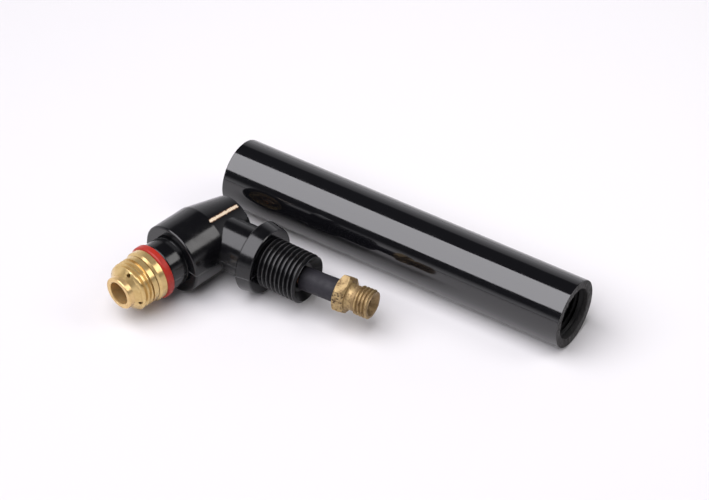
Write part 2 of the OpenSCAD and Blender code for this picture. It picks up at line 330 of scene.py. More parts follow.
def turned(name: str, section: Sequence[Point], steps: int = 144, ring: bool = False) -> Piece:
    """Turns a half section about Z: a circle is extruded ring by ring and resized to each radius.

    Args:
        name: The piece's name.
        section: Its (radius, station) points in millimetres, all radii above zero.
        steps: Sides of the circle.
        ring: True joins the last point to the first, and False closes both ends with a flat face.

    Returns:
        The solid, upright at the origin.
    """
    (radius, station), *rest = section
    select_none()
    bpy.ops.mesh.primitive_circle_add(vertices=steps, radius=radius, fill_type="NOTHING", location=(0, 0, 0))
    piece = named(name)
    edit(piece)
    bpy.ops.transform.translate(value=(0, 0, station))
    for next_radius, next_station in [*rest, section[0]] if ring else rest:
        bpy.ops.mesh.extrude_region_move(TRANSFORM_OT_translate={"value": (0, 0, next_station - station)})
        if next_radius != radius:
            share = next_radius / radius
            bpy.ops.transform.resize(value=(share, share, 1), center_override=(0, 0, next_station))
        radius, station = next_radius, next_station
    if not ring:
        bpy.ops.mesh.edge_face_add()
        bpy.ops.mesh.select_all(action="DESELECT")
        bpy.ops.mesh.select_non_manifold()
        bpy.ops.mesh.edge_face_add()
    leave_edit()
    close_up(piece)
    return piece


@dataclass(frozen=True)
class Thread:
    """A metric thread with 60 degree flanks, in millimetres."""

    major: float
    pitch: float
    steps: int = 112
    overcut: float = 0.08

    @property
    def crest(self) -> float:
        """Radius of the crests of an outer thread, and of the roots of an inner one."""
        return self.major / 2

    @property
    def root(self) -> float:
        """Radius of the roots of an outer thread, and of the crests of an inner one."""
        return self.crest - THREAD_DEPTH * self.pitch

    def rod(self, name: str, start: float, end: float, inner: bool = False) -> Piece:
        """Winds one pitch of the profile along its helix and cuts the ends square.

        Args:
            name: The rod's name.
            start: The station at which it starts.
            end: The station at which it ends.
            inner: True for the tap of an inner thread, whose roots overcut, and False for an outer thread's crests.

        Returns:
            The threaded rod.
        """
        pitch, slope = self.pitch, math.tan(math.radians(30))
        low = self.root - (self.overcut if inner else 0)
        high = self.crest + (0 if inner else self.overcut)
        root_flat = pitch / 4 - 2 * slope * (self.root - low)
        flank = slope * (high - low)
        profile = [(low, root_flat), (high, root_flat + flank), (high, pitch - flank), (low, pitch)]
        select_none()
        bpy.ops.mesh.primitive_plane_add(size=pitch / 8, location=(0, 0, 0))
        piece = named(name)
        edit(piece)
        bpy.ops.mesh.merge(type="CENTER")
        bpy.ops.transform.translate(value=(low, 0, start - pitch))
        place = (low, 0.0)
        for radius, height in profile:
            step = (radius - place[0], 0, height - place[1])
            bpy.ops.mesh.extrude_vertices_move(TRANSFORM_OT_translate={"value": step})
            place = (radius, height)
        leave_edit()
        winding = piece.modifiers.new("winding", "SCREW")
        winding.axis = "Z"
        winding.angle = FULL_TURN
        winding.screw_offset = pitch
        winding.steps = winding.render_steps = self.steps
        winding.iterations = math.ceil((end - start) / pitch) + 2
        winding.use_merge_vertices = True
        winding.merge_threshold = MERGE
        winding.use_smooth_shade = False
        apply_modifier(piece, winding)
        close_up(piece)
        slice_off(piece, UP * start, -UP)
        slice_off(piece, UP * end, UP)
        close_up(piece)
        return piece


# ------------------------------------------------------------------------------------------------ the lie


@dataclass(frozen=True)
class Line:
    """An axis of the torch: +Z of what is drawn in millimetres runs along it, and -X of it points up."""

    start: Vector
    yaw: float

    @property
    def turn(self) -> Euler:
        """The turn from upright to lying along the axis."""
        return (Matrix.Rotation(self.yaw, 3, "Z") @ Matrix.Rotation(math.pi / 2, 3, "Y")).to_euler()

    @property
    def matrix(self) -> Matrix:
        """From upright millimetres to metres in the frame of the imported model."""
        return Matrix.Translation(self.start) @ self.turn.to_matrix().to_4x4() @ Matrix.Scale(MM, 4)

    def point(self, station: float) -> Vector:
        """The point at a station in millimetres."""
        return self.matrix @ Vector((0, 0, station))


class Lie:
    """Where the axes lie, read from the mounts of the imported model.

    The tube's reach is the distance in millimetres from the nose axis to the point from which its stations count.
    """

    def __init__(self, record: dict, stem_end: float) -> None:
        """Reads the axes.

        Args:
            record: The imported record.
            stem_end: Station of the end of the stem, in millimetres.
        """
        mounts = {m["name"]: m for m in record["mounts"]}
        nose, stem, tube = (mounts[n] for n in ("cup_thread", "handle_thread_pin", "hose_thread"))
        crossing = self._crossing(nose, stem)
        self.nose = Line(crossing, self._yaw(nose))
        self.stem = Line(crossing, self._yaw(stem))
        self.tube = Line(self.stem.point(stem_end), self._yaw(tube))
        self.tube_reach = (self.tube.start - crossing).length / MM
        low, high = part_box("handle_tube")
        self.handle = Line(Vector((low.x, (low.y + high.y) / 2, (low.z + high.z) / 2)), 0.0)

    @staticmethod
    def _yaw(mount: dict) -> float:
        """Direction of a mount's level axis, from +X, in radians."""
        return math.atan2(mount["axis"][1], mount["axis"][0])

    @staticmethod
    def _crossing(one: dict, other: dict) -> Vector:
        """Finds where the level axes of two mounts cross.

        Args:
            one: A mount.
            other: Another mount at the same height.

        Returns:
            The point in metres.
        """
        p, d = Vector(one["pos_m"]), Vector(one["axis"])
        q, e = Vector(other["pos_m"]), Vector(other["axis"])
        gap = q - p
        along = (gap.x * e.y - gap.y * e.x) / (d.x * e.y - d.y * e.x)
        return p + d * along


# ------------------------------------------------------------------------------------------------ finishes


class Recipe:
    """The node tree of one material or of the world, put together step by step."""

    def __init__(self, name: str, world: bool = False) -> None:
        """Starts an empty tree.

        Args:
            name: The name of the material or the world.
            world: True for the world, and False for a material.
        """
        self.owner = (bpy.data.worlds if world else bpy.data.materials).new(name)
        self.owner.use_nodes = True
        self.tree = self.owner.node_tree
        self.tree.nodes.clear()
        self.output = self.node("ShaderNodeOutputWorld" if world else "ShaderNodeOutputMaterial")
        self.places = self.node("ShaderNodeTexCoord").outputs

    def node(self, kind: str, **settings: object) -> bpy.types.Node:
        """Adds a node.

        Args:
            kind: The node's type.
            **settings: Its properties.

        Returns:
            The node.
        """
        made = self.tree.nodes.new(kind)
        for key, value in settings.items():
            setattr(made, key, value)
        return made

    def feed(self, socket: Socket, value: object) -> None:
        """Links a socket to another one, or sets its value.

        Args:
            socket: The input.
            value: An output socket, a number, a colour or a vector.
        """
        if isinstance(value, bpy.types.NodeSocket):
            self.tree.links.new(value, socket)
        elif isinstance(value, (tuple, list)) and socket.type == "RGBA" and len(value) == 3:
            socket.default_value = (*value, 1.0)
        else:
            socket.default_value = value

    def along(self, line: Line) -> Socket:
        """Gives places in millimetres along an axis, as the pieces are drawn.

        Args:
            line: The axis.

        Returns:
            The place.
        """
        mapping = self.node("ShaderNodeMapping", vector_type="TEXTURE")
        self.feed(mapping.inputs["Vector"], self.places["Object"])
        mapping.inputs["Location"].default_value = line.start
        mapping.inputs["Rotation"].default_value = line.turn
        mapping.inputs["Scale"].default_value = (MM, MM, MM)
        return mapping.outputs[0]

    def stretched(self, place: Socket, scale: tuple[float, float, float]) -> Socket:
        """Scales each axis of a place.

        Args:
            place: The place.
            scale: The three scales.

        Returns:
            The scaled place.
        """
        mapping = self.node("ShaderNodeMapping", vector_type="POINT")
        self.feed(mapping.inputs["Vector"], place)
        mapping.inputs["Scale"].default_value = scale
        return mapping.outputs[0]

    def parts(self, place: Socket) -> tuple[Socket, Socket, Socket]:
        """Splits a place.

        Args:
            place: The place.

        Returns:
            Its X, Y and Z.
        """
        split = self.node("ShaderNodeSeparateXYZ")
        self.feed(split.inputs[0], place)
        return split.outputs[0], split.outputs[1], split.outputs[2]

    def calc(self, operation: str, one: object, other: object = 0.0) -> Socket:
        """Adds one step of arithmetic.

        Args:
            operation: The Math node's operation.
            one: Its first value.
            other: Its second value.

        Returns:
            The result.
        """
        step = self.node("ShaderNodeMath", operation=operation)
        for socket, value in zip(step.inputs, (one, other)):
            self.feed(socket, value)
        return step.outputs[0]

    def times(self, one: object, other: object) -> Socket:
        """Multiplies two values."""
        return self.calc("MULTIPLY", one, other)

    def radius(self, x: Socket, y: Socket) -> Socket:
        """Measures the distance from the axis."""
        return self.calc("SQRT", self.calc("ADD", self.times(x, x), self.times(y, y)))

    def ramp(self, value: Socket, low: float, high: float, to_low: float = 0.0, to_high: float = 1.0,
             kind: str = "SMOOTHSTEP") -> Socket:
        """Runs a value from one range to another.

        Args:
            value: The value.
            low: Start of its range.
            high: End of its range.
            to_low: Result at the start.
            to_high: Result at the end.
            kind: The Map Range node's interpolation.

        Returns:
            The result, held within its range.
        """
        step = self.node("ShaderNodeMapRange", interpolation_type=kind)
        for socket, number in zip(step.inputs, (value, low, high, to_low, to_high)):
            self.feed(socket, number)
        return step.outputs[0]

    def band(self, value: Socket, low: float, high: float, soft: float) -> Socket:
        """Marks the stretch between two limits.

        Args:
            value: The value.
            low: Its lower limit.
            high: Its upper limit.
            soft: Half the width of each border.

        Returns:
            One between the limits and zero outside.
        """
        rise = self.ramp(value, low - soft, low + soft)
        fall = self.ramp(value, high - soft, high + soft, 1.0, 0.0)
        return self.times(rise, fall)

    def noise(self, place: Socket, scale: float, detail: float = 3.0, rough: float = 0.55) -> Socket:
        """Makes a cloudy value about one half.

        Args:
            place: Where it is read.
            scale: Features for each unit of the place.
            detail: Octaves.
            rough: Strength of the finer octaves.

        Returns:
            The value.
        """
        cloud = self.node("ShaderNodeTexNoise")
        self.feed(cloud.inputs["Vector"], place)
        cloud.inputs["Scale"].default_value = scale
        cloud.inputs["Detail"].default_value = detail
        cloud.inputs["Roughness"].default_value = rough
        return cloud.outputs["Fac"]

    def specks(self, place: Socket, scale: float, size: float) -> Socket:
        """Scatters round specks.

        Args:
            place: Where they are read.
            scale: Cells for each unit of the place.
            size: Share of a cell that a speck may fill.

        Returns:
            One on a speck, and zero elsewhere.
        """
        cells = self.node("ShaderNodeTexVoronoi")
        self.feed(cells.inputs["Vector"], place)
        cells.inputs["Scale"].default_value = scale
        return self.ramp(cells.outputs["Distance"], size * 0.6, size, 1.0, 0.0)

    def blend(self, share: object, one: object, other: object) -> Socket:
        """Mixes two colours.

        Args:
            share: Share of the second colour.
            one: The first colour.
            other: The second colour.

        Returns:
            The mixed colour.
        """
        step = self.node("ShaderNodeMix", data_type="RGBA")
        self.feed(step.inputs[0], share)
        self.feed(step.inputs[6], one)
        self.feed(step.inputs[7], other)
        return step.outputs[2]

    def bump(self, height: Socket, depth: float, below: Socket | None = None) -> Socket:
        """Raises the surface.

        Args:
            height: The height, from zero to one.
            depth: The depth of a full step, in millimetres.
            below: The normal of coarser bumps.

        Returns:
            The normal.
        """
        step = self.node("ShaderNodeBump")
        step.inputs["Strength"].default_value = 1.0
        step.inputs["Distance"].default_value = depth * MM
        self.feed(step.inputs["Height"], height)
        if below is not None:
            self.feed(step.inputs["Normal"], below)
        return step.outputs[0]

    def shader(self, **inputs: object) -> Socket:
        """Adds a principled shader.

        Args:
            **inputs: Its inputs, by name with underscores for spaces.

        Returns:
            Its output.
        """
        made = self.node("ShaderNodeBsdfPrincipled")
        for key, value in inputs.items():
            self.feed(made.inputs[key.replace("_", " ")], value)
        return made.outputs[0]

    def finished(self, surface: Socket) -> bpy.types.Material | bpy.types.World:
        """Ends the tree in a surface.

        Args:
            surface: The shader.

        Returns:
            The material or the world.
        """
        self.feed(self.output.inputs["Surface"], surface)
        return self.owner


@dataclass(frozen=True)
class MouldedPhenolic:
    """Satin black moulded phenolic with a matt, worn thread and a stamped gold bar."""

    nose: Line
    stem: Line
    thread_start: float
    thread_crest: float
    black: Colour = (0.0034, 0.0034, 0.0042)
    # Pale grey of the rubbed thread crests, which is real wear, and of the painted highlight along the seam
    worn: Colour = (0.050, 0.049, 0.051)
    dust: Colour = (0.20, 0.17, 0.15)
    foil: Colour = (0.90, 0.66, 0.40)
    foil_light: Colour = (0.98, 0.88, 0.74)
    foil_edge: Colour = (0.16, 0.065, 0.018)
    bar_stations: Point = (-11.2, 5.4)
    bar_angles: Point = (21.4, 23.6)
    bar_half_width: float = 0.85

    def material(self) -> bpy.types.Material:
        """Makes the material.

        Returns:
            The material.
        """
        r = Recipe("moulded_phenolic")
        nose, stem = r.along(self.nose), r.along(self.stem)
        x, y, z = r.parts(stem)
        around = r.radius(x, y)
        clouds = r.noise(nose, 0.22, 4.0)
        grain = r.noise(nose, 3.2, 3.0, 0.6)
        threaded = r.times(r.ramp(z, self.thread_start - 0.1, self.thread_start + 0.1),
                           r.ramp(around, self.thread_crest + 0.06, self.thread_crest + 0.15, 1.0, 0.0))
        crest = r.ramp(around, self.thread_crest - 0.05, self.thread_crest - 0.01)
        rubbed = r.times(r.times(threaded, crest), r.ramp(r.noise(stem, 0.8, 4.0, 0.7), 0.36, 0.62, 0.12))
        fallen = r.times(r.specks(stem, 1.9, 0.20), r.ramp(r.noise(stem, 0.35, 3.0), 0.46, 0.58))
        dust = r.times(threaded, r.times(fallen, r.ramp(x, -9.0, -4.0, 1.0, 0.0)))
        # Painted highlight: a pale line along the raised flash where the mould halves meet, standing in for light
        # caught by the flash; on the thread crests the pale mark is real wear
        seam_highlight = r.times(r.band(x, -0.13, 0.13, 0.03), r.ramp(r.noise(stem, 0.5, 3.0), 0.34, 0.56))
        pale = r.calc("MAXIMUM", rubbed, r.times(seam_highlight, 0.6))
        colour = r.blend(r.times(pale, 0.85), self.black, self.worn)
        colour = r.blend(dust, colour, self.dust)
        rough = r.calc("ADD", r.ramp(clouds, 0.35, 0.7, 0.13, 0.21), r.times(r.ramp(grain, 0.4, 0.7), 0.04))
        rough = r.calc("MAXIMUM", rough, r.times(threaded, 0.30))
        rough = r.calc("MAXIMUM", rough, r.times(pale, 0.5))
        # Painted shade: the thread's flanks and roots reflect less than its crests, standing in for shade in the narrow
        # grooves
        flank = r.times(threaded, r.calc("SUBTRACT", 1.0, crest))
        gleam = r.ramp(flank, 0.0, 1.0, 0.5, 0.24)
        skin = r.bump(r.noise(nose, 0.55, 2.0), 0.012)
        fine = r.bump(grain, 0.006, skin)
        plastic = r.shader(Base_Color=colour, Roughness=rough, IOR=1.5, Specular_IOR_Level=gleam, Normal=fine)
        return r.finished(self._with_bar(r, nose, plastic, fine))

    def _with_bar(self, r: Recipe, nose: Socket, plastic: Socket, skin: Socket) -> Socket:
        """Stamps the gold bar on the plastic.

        Args:
            r: The recipe.
            nose: Places along the nose.
            plastic: The plastic's shader.
            skin: The plastic's normal.

        Returns:
            The plastic with its bar.
        """
        x, y, z = r.parts(nose)
        turn = r.calc("ARCTAN2", y, r.times(x, -1.0))
        lean = r.ramp(z, *self.bar_stations, *map(math.radians, self.bar_angles), "LINEAR")
        across = r.times(r.calc("SUBTRACT", turn, lean), r.radius(x, y))
        ragged = r.times(r.calc("SUBTRACT", r.noise(nose, 1.3, 4.0, 0.7), 0.5), 1.5)
        off = r.calc("ADD", r.calc("ABSOLUTE", across), ragged)
        inside = r.times(r.ramp(off, self.bar_half_width - 0.06, self.bar_half_width + 0.06, 1.0, 0.0),
                         r.band(r.calc("ADD", z, ragged), *self.bar_stations, 0.08))
        inside = r.times(inside, r.ramp(r.noise(nose, 2.3, 3.0, 0.6), 0.30, 0.36))
        crinkle = r.noise(nose, 2.6, 4.0, 0.65)
        border = r.ramp(off, self.bar_half_width - 0.42, self.bar_half_width - 0.12)
        tint = r.blend(crinkle, self.foil, self.foil_light)
        gold = r.shader(Base_Color=r.blend(border, tint, self.foil_edge), Metallic=0.35,
                        Roughness=r.ramp(crinkle, 0.3, 0.7, 0.32, 0.5), Normal=r.bump(crinkle, 0.05, skin))
        mix = r.node("ShaderNodeMixShader")
        r.feed(mix.inputs[0], inside)
        r.feed(mix.inputs[1], plastic)
        r.feed(mix.inputs[2], gold)
        return mix.outputs[0]


@dataclass(frozen=True)
class TurnedBrass:
    """Bright turned brass with fine tool lines round its axis."""

    line: Line
    name: str = "turned_brass"
    bright: Colour = (0.67, 0.485, 0.215)
    deep: Colour = (0.53, 0.350, 0.130)
    spot: Colour = (0.22, 0.13, 0.05)
    sheen: float = 0.68
    feed_mm: float = 0.16

    def material(self) -> bpy.types.Material:
        """Makes the material.

        Returns:
            The material.
        """
        r = Recipe(self.name)
        place = r.along(self.line)
        x, y, z = r.parts(place)
        around = r.radius(x, y)
        wobble = r.times(r.noise(place, 0.35, 2.0), 0.35)
        cut = r.calc("ADD", r.calc("ADD", z, around), wobble)
        lines = r.calc("SINE", r.times(cut, FULL_TURN / self.feed_mm))
        uneven = r.noise(r.stretched(place, (0.25, 0.25, 6.0)), 1.0, 4.0, 0.6)
        stain = r.noise(place, 0.32, 4.0, 0.6)
        spots = r.times(r.specks(place, 0.8, 0.12), r.ramp(stain, 0.5, 0.62))
        colour = r.blend(r.ramp(stain, 0.38, 0.72, 0.0, 0.75), self.bright, self.deep)
        colour = r.blend(r.times(spots, 0.6), colour, self.spot)
        rough = r.ramp(uneven, 0.3, 0.7, 0.17, 0.26)
        coarse = r.bump(uneven, 0.006)
        fine = r.bump(lines, 0.0016, coarse)
        return r.finished(r.shader(Base_Color=colour, Metallic=self.sheen, Roughness=rough, Normal=fine))


@dataclass(frozen=True)
class WornBrass:
    """Dull, stained and scratched brass of the hose fitting, with one pitted, saw-marked side."""

    line: Line
    hex_stations: Point
    crest: float
    bright: Colour = (0.44, 0.315, 0.150)
    stain: Colour = (0.15, 0.088, 0.038)
    pit: Colour = (0.07, 0.04, 0.018)

    def material(self) -> bpy.types.Material:
        """Makes the material.

        Returns:
            The material.
        """
        r = Recipe("worn_brass")
        place = r.along(self.line)
        x, y, z = r.parts(place)
        around = r.radius(x, y)
        blotch = r.noise(place, 0.42, 5.0, 0.65)
        grime = r.noise(place, 1.7, 4.0, 0.7)
        hexed = r.band(z, *self.hex_stations, 0.1)
        threaded = r.ramp(z, self.hex_stations[1] + 2.4, self.hex_stations[1] + 2.8)
        valley = r.times(threaded, r.ramp(around, self.crest - 0.75, self.crest - 0.15, 1.0, 0.0))
        dark = r.calc("MAXIMUM", r.ramp(blotch, 0.42, 0.66), r.times(valley, 0.75))
        colour = r.blend(r.times(dark, r.ramp(grime, 0.2, 0.7, 0.55, 1.0)), self.bright, self.stain)
        scratch = r.noise(r.stretched(place, (0.7, 0.7, 9.0)), 1.0, 5.0, 0.7)
        cross = r.noise(r.stretched(place, (5.0, 5.0, 0.6)), 1.0, 4.0, 0.7)
        sawn = r.times(r.ramp(x, -5.6, -5.0), r.ramp(y, -1.0, 0.0, 1.0, 0.0))
        pits = r.times(r.times(r.specks(place, 0.85, 0.46), hexed), sawn)
        colour = r.blend(r.times(pits, 0.85), colour, self.pit)
        rough = r.calc("ADD", r.ramp(blotch, 0.3, 0.7, 0.38, 0.56), r.times(scratch, 0.08))
        dents = r.bump(r.times(pits, -1.0), 0.22)
        marks = r.bump(r.calc("ADD", scratch, cross), 0.02, dents)
        fine = r.bump(grime, 0.012, marks)
        return r.finished(r.shader(Base_Color=colour, Metallic=0.6, Roughness=rough, Normal=fine))


@dataclass(frozen=True)
class RedSilicone:
    """Matt red silicone with a fine moulded skin and a little dust."""

    line: Line
    red: Colour = (0.38, 0.018, 0.008)
    deep: Colour = (0.24, 0.011, 0.008)
    dust: Colour = (0.55, 0.32, 0.28)

    def material(self) -> bpy.types.Material:
        """Makes the material.

        Returns:
            The material.
        """
        r = Recipe("red_silicone")
        place = r.along(self.line)
        clouds = r.noise(place, 0.5, 4.0, 0.6)
        skin = r.noise(place, 5.0, 3.0, 0.6)
        specks = r.times(r.specks(place, 1.3, 0.10), r.ramp(clouds, 0.48, 0.56))
        colour = r.blend(r.ramp(clouds, 0.3, 0.7, 0.0, 0.5), self.red, self.deep)
        colour = r.blend(r.times(specks, 0.5), colour, self.dust)
        rough = r.ramp(clouds, 0.3, 0.7, 0.34, 0.46)
        normal = r.bump(skin, 0.008, r.bump(clouds, 0.05))
        return r.finished(r.shader(Base_Color=colour, Roughness=rough, IOR=1.43, Subsurface_Weight=0.08,
                                   Subsurface_Scale=0.001, Normal=normal))


@dataclass(frozen=True)
class ShrinkSleeve:
    """Matt blue-black heat-shrink sleeve with faint lengthwise draw lines."""

    line: Line
    black: Colour = (0.0105, 0.0095, 0.0140)
    faded: Colour = (0.017, 0.0155, 0.0215)
    lint: Colour = (0.16, 0.16, 0.17)

    def material(self) -> bpy.types.Material:
        """Makes the material.

        Returns:
            The material.
        """
        r = Recipe("shrink_sleeve")
        place = r.along(self.line)
        drawn = r.noise(r.stretched(place, (2.6, 2.6, 0.12)), 1.0, 4.0, 0.6)
        clouds = r.noise(place, 0.45, 4.0, 0.6)
        specks = r.times(r.specks(place, 1.1, 0.09), r.ramp(clouds, 0.46, 0.6))
        colour = r.blend(r.ramp(drawn, 0.35, 0.7, 0.0, 0.6), self.black, self.faded)
        colour = r.blend(r.times(specks, 0.5), colour, self.lint)
        rough = r.ramp(clouds, 0.3, 0.7, 0.58, 0.72)
        normal = r.bump(drawn, 0.015, r.bump(clouds, 0.06))
        return r.finished(r.shader(Base_Color=colour, Roughness=rough, IOR=1.45, Normal=normal))


@dataclass(frozen=True)
class PolishedTube:
    """Glossy black phenolic tube, with a matt sawn end and matt cut inner faces."""

    line: Line
    outer: float
    mouth: float
    root: float
    black: Colour = (0.0040, 0.0040, 0.0050)
    cut: Colour = (0.019, 0.0185, 0.0185)
    chalk: Colour = (0.048, 0.045, 0.044)
    # Near-black inside the handle's thread and lead-in: painted shade
    deep: Colour = (0.0060, 0.0060, 0.0065)

    def material(self) -> bpy.types.Material:
        """Makes the material.

        Returns:
            The material.
        """
        r = Recipe("polished_tube")
        place = r.along(self.line)
        x, y, _ = r.parts(place)
        around = r.radius(x, y)
        skin = r.ramp(around, self.outer - 0.22, self.outer - 0.06)
        clouds = r.noise(place, 0.16, 4.0, 0.6)
        fibres = r.noise(r.stretched(place, (1.0, 1.0, 0.5)), 2.4, 5.0, 0.7)
        sawn = r.noise(place, 2.2, 5.0, 0.7)
        bare = r.blend(r.ramp(sawn, 0.38, 0.72), self.cut, self.chalk)
        # Painted shade: the inside of the tube, its lead-in and the thread's flanks and roots, turns near-black, while
        # patches on the thread crests and the bore keep the cut colour
        inner = r.ramp(around, self.mouth - 0.35, self.mouth + 0.05, 1.0, 0.0)
        crests = r.times(r.ramp(around, self.root + 0.02, self.root + 0.10, 1.0, 0.0), r.ramp(sawn, 0.30, 0.62))
        bare = r.blend(r.times(inner, r.calc("SUBTRACT", 1.0, crests)), bare, self.deep)
        colour = r.blend(skin, bare, self.black)
        hairs = r.noise(r.stretched(place, (2.5, 2.5, 0.035)), 1.0, 3.0, 0.6)
        polish = r.calc("ADD", r.ramp(clouds, 0.35, 0.7, 0.055, 0.10), r.times(hairs, 0.03))
        bare_share = r.calc("SUBTRACT", 1.0, skin)
        rough = r.calc("ADD", r.times(polish, skin), r.times(bare_share, r.ramp(fibres, 0.3, 0.7, 0.42, 0.6)))
        waves = r.noise(r.stretched(place, (0.10, 0.10, 0.035)), 1.0, 2.0)
        wavy = r.bump(waves, 0.05)
        torn = r.bump(r.times(sawn, bare_share), 0.10, wavy)
        gleam = r.ramp(skin, 0.0, 1.0, 0.16, 0.5)
        return r.finished(r.shader(Base_Color=colour, Roughness=rough, IOR=1.70, Specular_IOR_Level=gleam,
                                   Normal=torn))


@dataclass(frozen=True)
class DullMetal:
    """Drawn or melted metal of the hidden joints."""

    line: Line
    name: str
    bright: Colour
    dark: Colour

    def material(self) -> bpy.types.Material:
        """Makes the material.

        Returns:
            The material.
        """
        r = Recipe(self.name)
        place = r.along(self.line)
        clouds = r.noise(place, 0.6, 5.0, 0.65)
        grain = r.noise(place, 4.0, 3.0, 0.6)
        colour = r.blend(r.ramp(clouds, 0.35, 0.7), self.bright, self.dark)
        rough = r.ramp(grain, 0.3, 0.7, 0.28, 0.44)
        return r.finished(r.shader(Base_Color=colour, Metallic=1.0, Roughness=rough, Normal=r.bump(clouds, 0.03)))


# ------------------------------------------------------------------------------------------- the sub-assemblies


def hand_over(piece: Piece, place: Matrix, material: bpy.types.Material, node: str, body: Body,
              crease: float = 32.0) -> Piece:
    """Finishes a piece: its place, smooth shading with crisp edges, its material, its node and its body.

    Args:
        piece: The piece, as it was drawn.
        place: Where it goes in the frame.
        material: What it is made of.
        node: The CAD node that it stands for, which is hidden.
        body: The body that it rides on.
        crease: Angle in degrees above which an edge stays crisp.

    Returns:
        The piece.
    """
    moved(piece, place)
    bpy.ops.object.shade_smooth_by_angle(angle=math.radians(crease))
    shading = piece.modifiers.new("shading", "WEIGHTED_NORMAL")
    shading.keep_sharp = True
    apply_modifier(piece, shading)
    piece.data.materials.clear()
    piece.data.materials.append(material)
    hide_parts(node)
    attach(piece, body.value)
    return piece


@dataclass
class HeadMoulding:
    """The black moulding: nose body, stem, flange and the thread that carries the handle."""

    lie: Lie
    body_d: float = 29.0
    front: float = 21.2
    taper_at: float = 5.0
    tail_at: float = -12.6
    tail_d: float = 21.5
    edge_r: float = 0.9
    groove_d: float = 19.0
    neck_at: float = 22.1
    neck_d: float = 20.4
    neck_end: float = 29.3
    neck_edge_r: float = 0.8
    stem_d: float = 21.0
    flange_at: float = 22.4
    flange_back_r: float = 0.7
    flange_front_d: float = 27.0
    thread_at: float = 28.8
    thread_start: float = 27.45
    stem_end: float = 47.2
    recess_d: float = 18.0
    recess_floor_d: float = 12.0
    recess_depth: float = 2.6
    shank_d: float = 16.04
    shank_back: float = 3.02
    core_d: float = 11.84
    socket_d: float = 15.04
    socket_at: float = -4.6
    tube_channel_d: float = 7.04
    chamfer: float = 0.3
    flash: float = 0.1
    flash_half_width: float = 0.14
    thread: Thread = field(default_factory=lambda: Thread(20.0, 2.0))

    def build(self) -> list[Piece]:
        """Makes the moulding.

        Returns:
            The finished piece.
        """
        body = combine(self._nose(), self._stem(), Cut.ADD)
        self._raise_flash(body)
        for room in self._rooms():
            body = combine(body, room, Cut.TAKE)
        close_up(body)
        finish = MouldedPhenolic(self.lie.nose, self.lie.stem, self.thread_at, self.thread.crest)
        return [hand_over(body, self._to_frame(), finish.material(), "head_moulding", Body.HEAD)]

    def _to_frame(self) -> Matrix:
        """From the head's own millimetres to metres in the frame."""
        return Matrix.Translation(self.lie.nose.start) @ Matrix.Scale(MM, 4)

    def _laid(self, piece: Piece, line: Line) -> Piece:
        """Lays an upright piece along an axis, in the head's own millimetres."""
        return moved(piece, self._to_frame().inverted() @ line.matrix)

    def _nose(self) -> Piece:
        """Turns the tail, the body, the groove and the front neck.

        Returns:
            The solid along the nose.
        """
        e, f, c = self.edge_r, self.neck_edge_r, self.chamfer
        section = [
            *rounded((self.tail_d / 2 - e, self.tail_at + e), e, -90, 0),
            (self.body_d / 2 - 0.06, self.taper_at - 0.28),
            (self.body_d / 2 - 0.015, self.taper_at),
            (self.body_d / 2, self.taper_at + 0.3),
            *rounded((self.body_d / 2 - e, self.front - e), e, 0, 90),
            (self.groove_d / 2 + 0.1, self.front),
            (self.groove_d / 2, self.front + 0.1),
            (self.groove_d / 2, self.neck_at - 0.1),
            (self.groove_d / 2 + 0.1, self.neck_at),
            (self.neck_d / 2 - c, self.neck_at),
            (self.neck_d / 2, self.neck_at + c),
            *rounded((self.neck_d / 2 - f, self.neck_end - f), f, 0, 90, 8),
        ]
        return self._laid(turned("head_moulding_piece", section, 160), self.lie.nose)

    def _stem(self) -> Piece:
        """Turns the stem's neck and flange and winds its thread.

        Returns:
            The solid along the stem.
        """
        c, crest = self.chamfer, self.thread.crest
        blank = turned("stem_blank", [(crest, self.thread_at - LAP), (crest, self.stem_end - 0.5),
                                      (crest - 0.5, self.stem_end)], 160)
        rod = combine(self.thread.rod("stem_thread", self.thread_start, self.stem_end + 0.4), blank, Cut.COMMON)
        e, flange_r, front_r = self.flange_back_r, self.body_d / 2, self.flange_front_d / 2
        neck = turned("stem_neck", [
            (self.stem_d / 2, 2.0), (self.stem_d / 2, self.flange_at),
            *rounded((flange_r - e, self.flange_at + e), e, -90, 0),
            (front_r, self.thread_at - c), (front_r - c, self.thread_at)], 160)
        return self._laid(combine(neck, rod, Cut.ADD), self.lie.stem)

    def _raise_flash(self, body: Piece) -> None:
        """Raises the thin line of flash where the halves of the mould meet, all round at the height of the axes.

        The flat ends stay as they are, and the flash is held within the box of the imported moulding.

        Args:
            body: The moulding's outside, in the head's own millimetres.
        """
        crest, foot = self.flash_half_width * 0.35, self.flash_half_width
        for height in (-foot, -crest, crest, foot):
            edit(body)
            bpy.ops.mesh.bisect(plane_co=UP * height, plane_no=UP)
            leave_edit()
        to_head = self._to_frame().inverted()
        ends = []
        for line, station, side in ((self.lie.nose, self.neck_end, 1), (self.lie.nose, self.tail_at, -1),
                                    (self.lie.stem, self.stem_end, 1)):
            way = (line.point(station) - line.point(0)).normalized()
            ends.append((to_head @ line.point(station - side * 0.35), way))
        select_points(body, lambda co: abs(co.z) < crest * 1.2 and all((co - at).dot(way) < 0 for at, way in ends))
        bpy.ops.transform.shrink_fatten(value=self.flash, use_even_offset=False)
        leave_edit()
        low, high = (to_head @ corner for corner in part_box("head_moulding"))
        for vertex in body.data.vertices:
            vertex.co.x = min(max(vertex.co.x, low.x), high.x)
            vertex.co.y = min(max(vertex.co.y, low.y), high.y)

